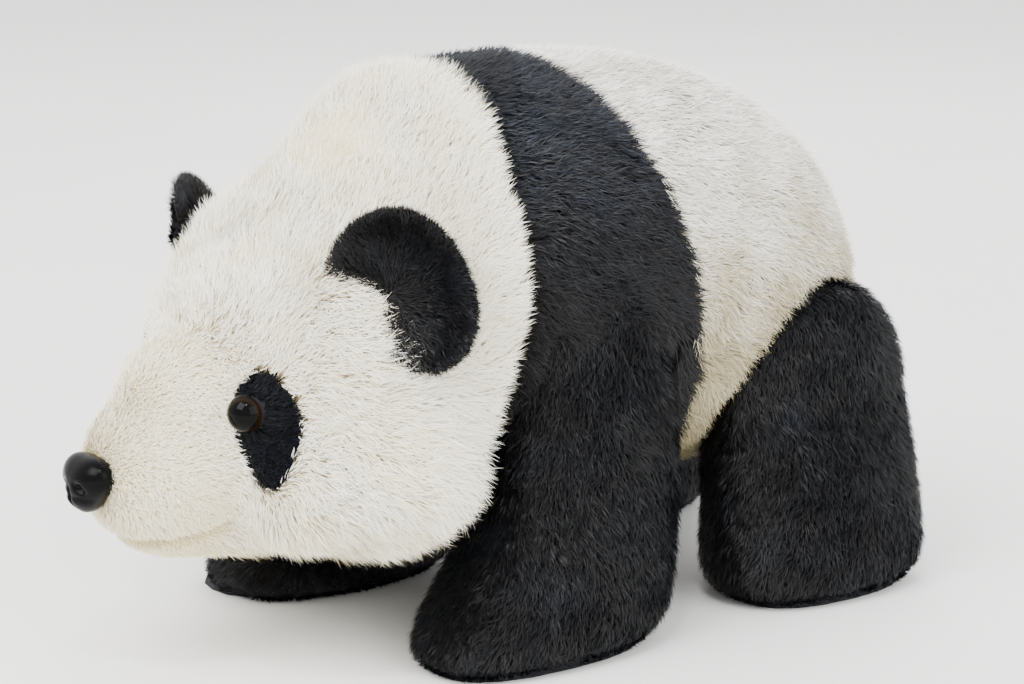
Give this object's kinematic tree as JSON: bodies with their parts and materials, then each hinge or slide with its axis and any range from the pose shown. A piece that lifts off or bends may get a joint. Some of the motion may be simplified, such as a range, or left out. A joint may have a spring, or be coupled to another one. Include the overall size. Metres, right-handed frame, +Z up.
{
  "type": "plush panda",
  "caption": "Stuffed toy panda walking on all fours with its head lowered, black ears, legs and shoulder band, and plastic eyes and nose.",
  "frame": {"origin": "on the ground, in the middle of the outline", "axes": "+Z up, -Y the way the face looks, +X the animal's left side"},
  "size_m": [0.2124, 0.4007, 0.242],
  "materials": {
    "black_pile": "pile",
    "black_short_pile": "short pile",
    "cream_long_pile": "long pile",
    "cream_short_pile": "short pile",
    "grey_white_pile": "pile",
    "filling": "loose fibre",
    "black_plastic": "gloss",
    "washer_plastic": "matte",
    "seam_thread": "thread"
  },
  "bodies": {
    "trunk": {"body_stuffing": "filling", "shoulder_band_left": "black_pile", "shoulder_band_right": "black_pile", "rump_cover_left": "grey_white_pile", "rump_cover_right": "grey_white_pile", "chest_panel": "black_pile", "belly_panel": "grey_white_pile"},
    "head": {"head_stuffing": "filling", "head_cover_left": "cream_long_pile", "head_cover_right": "cream_long_pile", "forehead_gusset": "cream_long_pile", "chin_panel": "cream_long_pile", "muzzle_cover": "cream_short_pile", "mouth_seam": "seam_thread", "eye_patch_left": "black_short_pile", "eye_patch_right": "black_short_pile", "eye_left": "black_plastic", "eye_right": "black_plastic", "eye_washer_left": "washer_plastic", "eye_washer_right": "washer_plastic", "nose": "black_plastic", "nose_washer": "washer_plastic"},
    "ear_left": {"ear_back_left": "black_pile", "ear_lining_left": "black_pile"},
    "ear_right": {"ear_back_right": "black_pile", "ear_lining_right": "black_pile"},
    "tail": {"tail_cover": "grey_white_pile", "tail_stuffing": "filling"},
    "front_leg_left": {"front_leg_outer_left": "black_pile", "front_leg_inner_left": "black_pile", "front_leg_stuffing_left": "filling", "front_sole_left": "black_pile"},
    "front_leg_right": {"front_leg_outer_right": "black_pile", "front_leg_inner_right": "black_pile", "front_leg_stuffing_right": "filling", "front_sole_right": "black_pile"},
    "hind_leg_left": {"hind_leg_outer_left": "black_pile", "hind_leg_inner_left": "black_pile", "hind_leg_stuffing_left": "filling", "hind_sole_left": "black_pile"},
    "hind_leg_right": {"hind_leg_outer_right": "black_pile", "hind_leg_inner_right": "black_pile", "hind_leg_stuffing_right": "filling", "hind_sole_right": "black_pile"}
  },
  "joints": [
    {"name": "head_nod", "type": "hinge", "parent": "trunk", "child": "head", "pos_m": [0, -0.008, 0.143], "axis": [1, 0, 0], "range_deg": [-6, 6], "stiffness_Nm_per_rad": 5},
    {"name": "ear_left_flop", "type": "hinge", "parent": "head", "child": "ear_left", "pos_m": [0.066, -0.09, 0.152], "axis": [0, -0.6428, 0.766], "range_deg": [-12, 12], "stiffness_Nm_per_rad": 0.06},
    {"name": "ear_right_flop", "type": "hinge", "parent": "head", "child": "ear_right", "pos_m": [-0.066, -0.09, 0.152], "axis": [0, -0.6428, 0.766], "range_deg": [-12, 12], "stiffness_Nm_per_rad": 0.06},
    {"name": "front_leg_left_swing", "type": "hinge", "parent": "trunk", "child": "front_leg_left", "pos_m": [0.0725, 0.004, 0.1205], "axis": [1, 0, 0], "range_deg": [-6, 6], "stiffness_Nm_per_rad": 3},
    {"name": "front_leg_right_swing", "type": "hinge", "parent": "trunk", "child": "front_leg_right", "pos_m": [-0.0725, 0.004, 0.1205], "axis": [1, 0, 0], "range_deg": [-6, 6], "stiffness_Nm_per_rad": 3},
    {"name": "hind_leg_left_swing", "type": "hinge", "parent": "trunk", "child": "hind_leg_left", "pos_m": [0.0725, 0.128, 0.085], "axis": [1, 0, 0], "range_deg": [-6, 6], "stiffness_Nm_per_rad": 3},
    {"name": "hind_leg_right_swing", "type": "hinge", "parent": "trunk", "child": "hind_leg_right", "pos_m": [-0.0725, 0.128, 0.085], "axis": [1, 0, 0], "range_deg": [-6, 6], "stiffness_Nm_per_rad": 3},
    {"name": "tail_lift", "type": "hinge", "parent": "trunk", "child": "tail", "pos_m": [0, 0.166, 0.135], "axis": [1, 0, 0], "range_deg": [-10, 10], "stiffness_Nm_per_rad": 0.06}
  ]
}
